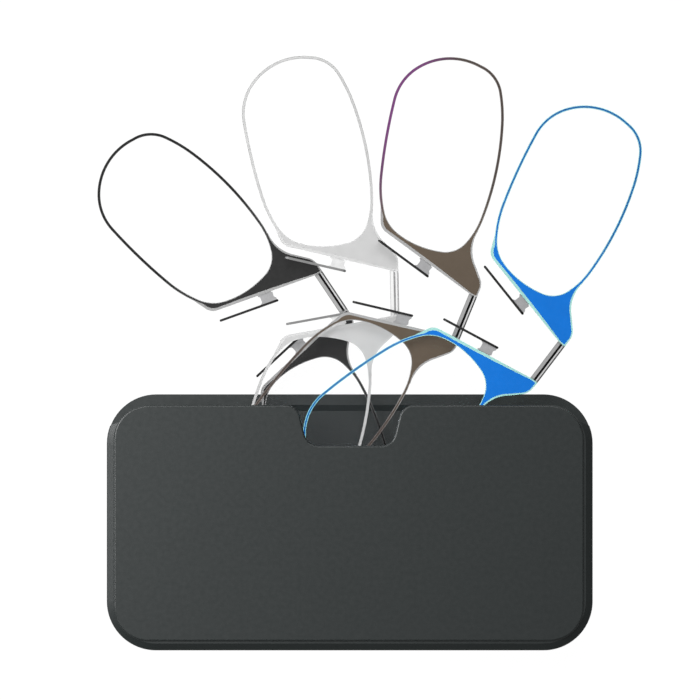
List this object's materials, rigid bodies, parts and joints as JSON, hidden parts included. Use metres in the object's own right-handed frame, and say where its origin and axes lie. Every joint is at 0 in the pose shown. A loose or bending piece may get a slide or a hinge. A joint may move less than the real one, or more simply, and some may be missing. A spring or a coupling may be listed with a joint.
{
  "type": "folding reading glasses in a pocket case",
  "caption": "Armless pince-nez reading glasses with pivoting bridge and sprung nose pads, fanned out of a flat open-topped pocket case.",
  "frame": {"origin": "middle of the case's flat back face", "axes": "+Z out of the front of the case, +Y out of its open top, +X to the right seen from the front"},
  "size_m": [0.1257, 0.1371, 0.0122],
  "materials": {
    "case_shell": "soft-touch satin",
    "rim_smoke": "clear moulded, polished edge",
    "rim_clear": "clear moulded, polished edge",
    "rim_aqua": "clear moulded, polished edge",
    "face_black": "smooth satin",
    "face_clear": "frosted, translucent",
    "face_brown": "smooth satin",
    "face_blue": "smooth satin",
    "lens": "clear, coated",
    "pad_arm_smoke": "translucent",
    "pad_arm_clear": "translucent",
    "pad_black": "matte soft",
    "pad_grey": "matte soft",
    "bridge_grey": "satin",
    "bridge_clear": "translucent",
    "wire_dark": "dark oxide",
    "wire_pale": "satin",
    "pin_steel": "ground"
  },
  "bodies": {
    "case": {"case_back_shell": "case_shell", "case_front_shell": "case_shell"},
    "black_lower": {"black_lower_rim": "rim_smoke", "black_lower_face": "face_black", "black_lower_lens": "lens"},
    "black_lower_nose_pad": {"black_lower_pad_arm": "pad_arm_smoke", "black_lower_pad": "pad_black"},
    "black_upper": {"black_upper_rim": "rim_smoke", "black_upper_face": "face_black", "black_upper_lens": "lens"},
    "black_upper_nose_pad": {"black_upper_pad_arm": "pad_arm_smoke", "black_upper_pad": "pad_black"},
    "black_bridge": {"black_bridge_bar": "bridge_grey", "black_bridge_wire": "wire_dark", "black_hinge_pins": "pin_steel"},
    "clear_lower": {"clear_lower_rim": "rim_clear", "clear_lower_face": "face_clear", "clear_lower_lens": "lens"},
    "clear_lower_nose_pad": {"clear_lower_pad_arm": "pad_arm_clear", "clear_lower_pad": "pad_grey"},
    "clear_upper": {"clear_upper_rim": "rim_clear", "clear_upper_face": "face_clear", "clear_upper_lens": "lens"},
    "clear_upper_nose_pad": {"clear_upper_pad_arm": "pad_arm_clear", "clear_upper_pad": "pad_grey"},
    "clear_bridge": {"clear_bridge_bar": "bridge_clear", "clear_bridge_wire": "wire_pale", "clear_hinge_pins": "pin_steel"},
    "brown_lower": {"brown_lower_rim": "rim_smoke", "brown_lower_face": "face_brown", "brown_lower_lens": "lens"},
    "brown_lower_nose_pad": {"brown_lower_pad_arm": "pad_arm_smoke", "brown_lower_pad": "pad_black"},
    "brown_upper": {"brown_upper_rim": "rim_smoke", "brown_upper_face": "face_brown", "brown_upper_lens": "lens"},
    "brown_upper_nose_pad": {"brown_upper_pad_arm": "pad_arm_smoke", "brown_upper_pad": "pad_black"},
    "brown_bridge": {"brown_bridge_bar": "bridge_grey", "brown_bridge_wire": "wire_dark", "brown_hinge_pins": "pin_steel"},
    "blue_lower": {"blue_lower_rim": "rim_aqua", "blue_lower_face": "face_blue", "blue_lower_lens": "lens"},
    "blue_lower_nose_pad": {"blue_lower_pad_arm": "pad_arm_smoke", "blue_lower_pad": "pad_black"},
    "blue_upper": {"blue_upper_rim": "rim_aqua", "blue_upper_face": "face_blue", "blue_upper_lens": "lens"},
    "blue_upper_nose_pad": {"blue_upper_pad_arm": "pad_arm_smoke", "blue_upper_pad": "pad_black"},
    "blue_bridge": {"blue_bridge_bar": "bridge_grey", "blue_bridge_wire": "wire_dark", "blue_hinge_pins": "pin_steel"}
  },
  "joints": [
    {"name": "black_slide", "type": "slide", "parent": "case", "child": "black_lower", "axis": [0, 1, 0], "range_m": [0, 0.06]},
    {"name": "black_lower_pivot", "type": "hinge", "parent": "black_lower", "child": "black_bridge", "pos_m": [-0.00084, 0.04792, 0.003], "axis": [0, 0, -1], "range_deg": [0, 90]},
    {"name": "black_upper_pivot", "type": "hinge", "parent": "black_bridge", "child": "black_upper", "pos_m": [-0.00774, 0.05822, 0.003], "axis": [0, 0, -1], "range_deg": [0, 90]},
    {"name": "black_lower_pad_flex", "type": "hinge", "parent": "black_lower", "child": "black_lower_nose_pad", "pos_m": [-0.01117, 0.03978, 0.003], "axis": [0, 0, 1], "range_deg": [-5, 5], "stiffness_Nm_per_rad": 0.005},
    {"name": "black_upper_pad_flex", "type": "hinge", "parent": "black_upper", "child": "black_upper_nose_pad", "pos_m": [-0.01972, 0.0528, 0.003], "axis": [0, 0, 1], "range_deg": [-5, 5], "stiffness_Nm_per_rad": 0.005},
    {"name": "clear_slide", "type": "slide", "parent": "case", "child": "clear_lower", "axis": [0, 1, 0], "range_m": [0, 0.06]},
    {"name": "clear_lower_pivot", "type": "hinge", "parent": "clear_lower", "child": "clear_bridge", "pos_m": [0.01047, 0.04665, 0.0054], "axis": [0, 0, -1], "range_deg": [0, 90]},
    {"name": "clear_upper_pivot", "type": "hinge", "parent": "clear_bridge", "child": "clear_upper", "pos_m": [0.01021, 0.05905, 0.0054], "axis": [0, 0, -1], "range_deg": [0, 90]},
    {"name": "clear_lower_pad_flex", "type": "hinge", "parent": "clear_lower", "child": "clear_lower_nose_pad", "pos_m": [-0.00261, 0.04535, 0.0054], "axis": [0, 0, 1], "range_deg": [-5, 5], "stiffness_Nm_per_rad": 0.005},
    {"name": "clear_upper_pad_flex", "type": "hinge", "parent": "clear_upper", "child": "clear_upper_nose_pad", "pos_m": [-0.0028, 0.06094, 0.0054], "axis": [0, 0, 1], "range_deg": [-5, 5], "stiffness_Nm_per_rad": 0.005},
    {"name": "brown_slide", "type": "slide", "parent": "case", "child": "brown_lower", "axis": [0, 1, 0], "range_m": [0, 0.06]},
    {"name": "brown_lower_pivot", "type": "hinge", "parent": "brown_lower", "child": "brown_bridge", "pos_m": [0.02409, 0.04172, 0.0078], "axis": [0, 0, -1], "range_deg": [0, 90]},
    {"name": "brown_upper_pivot", "type": "hinge", "parent": "brown_bridge", "child": "brown_upper", "pos_m": [0.0288, 0.05319, 0.0078], "axis": [0, 0, -1], "range_deg": [0, 90]},
    {"name": "brown_lower_pad_flex", "type": "hinge", "parent": "brown_lower", "child": "brown_lower_nose_pad", "pos_m": [0.01158, 0.04574, 0.0078], "axis": [0, 0, 1], "range_deg": [-5, 5], "stiffness_Nm_per_rad": 0.005},
    {"name": "brown_upper_pad_flex", "type": "hinge", "parent": "brown_upper", "child": "brown_upper_nose_pad", "pos_m": [0.01762, 0.06011, 0.0078], "axis": [0, 0, 1], "range_deg": [-5, 5], "stiffness_Nm_per_rad": 0.005},
    {"name": "blue_slide", "type": "slide", "parent": "case", "child": "blue_lower", "axis": [0, 1, 0], "range_m": [0, 0.06]},
    {"name": "blue_lower_pivot", "type": "hinge", "parent": "blue_lower", "child": "blue_bridge", "pos_m": [0.04189, 0.03202, 0.0102], "axis": [0, 0, -1], "range_deg": [0, 75]},
    {"name": "blue_upper_pivot", "type": "hinge", "parent": "blue_bridge", "child": "blue_upper", "pos_m": [0.04939, 0.0419, 0.0102], "axis": [0, 0, -1], "range_deg": [0, 90]},
    {"name": "blue_lower_pad_flex", "type": "hinge", "parent": "blue_lower", "child": "blue_lower_nose_pad", "pos_m": [0.03084, 0.03913, 0.0102], "axis": [0, 0, 1], "range_deg": [-5, 5], "stiffness_Nm_per_rad": 0.005},
    {"name": "blue_upper_pad_flex", "type": "hinge", "parent": "blue_upper", "child": "blue_upper_nose_pad", "pos_m": [0.04037, 0.05146, 0.0102], "axis": [0, 0, 1], "range_deg": [-5, 5], "stiffness_Nm_per_rad": 0.005}
  ]
}
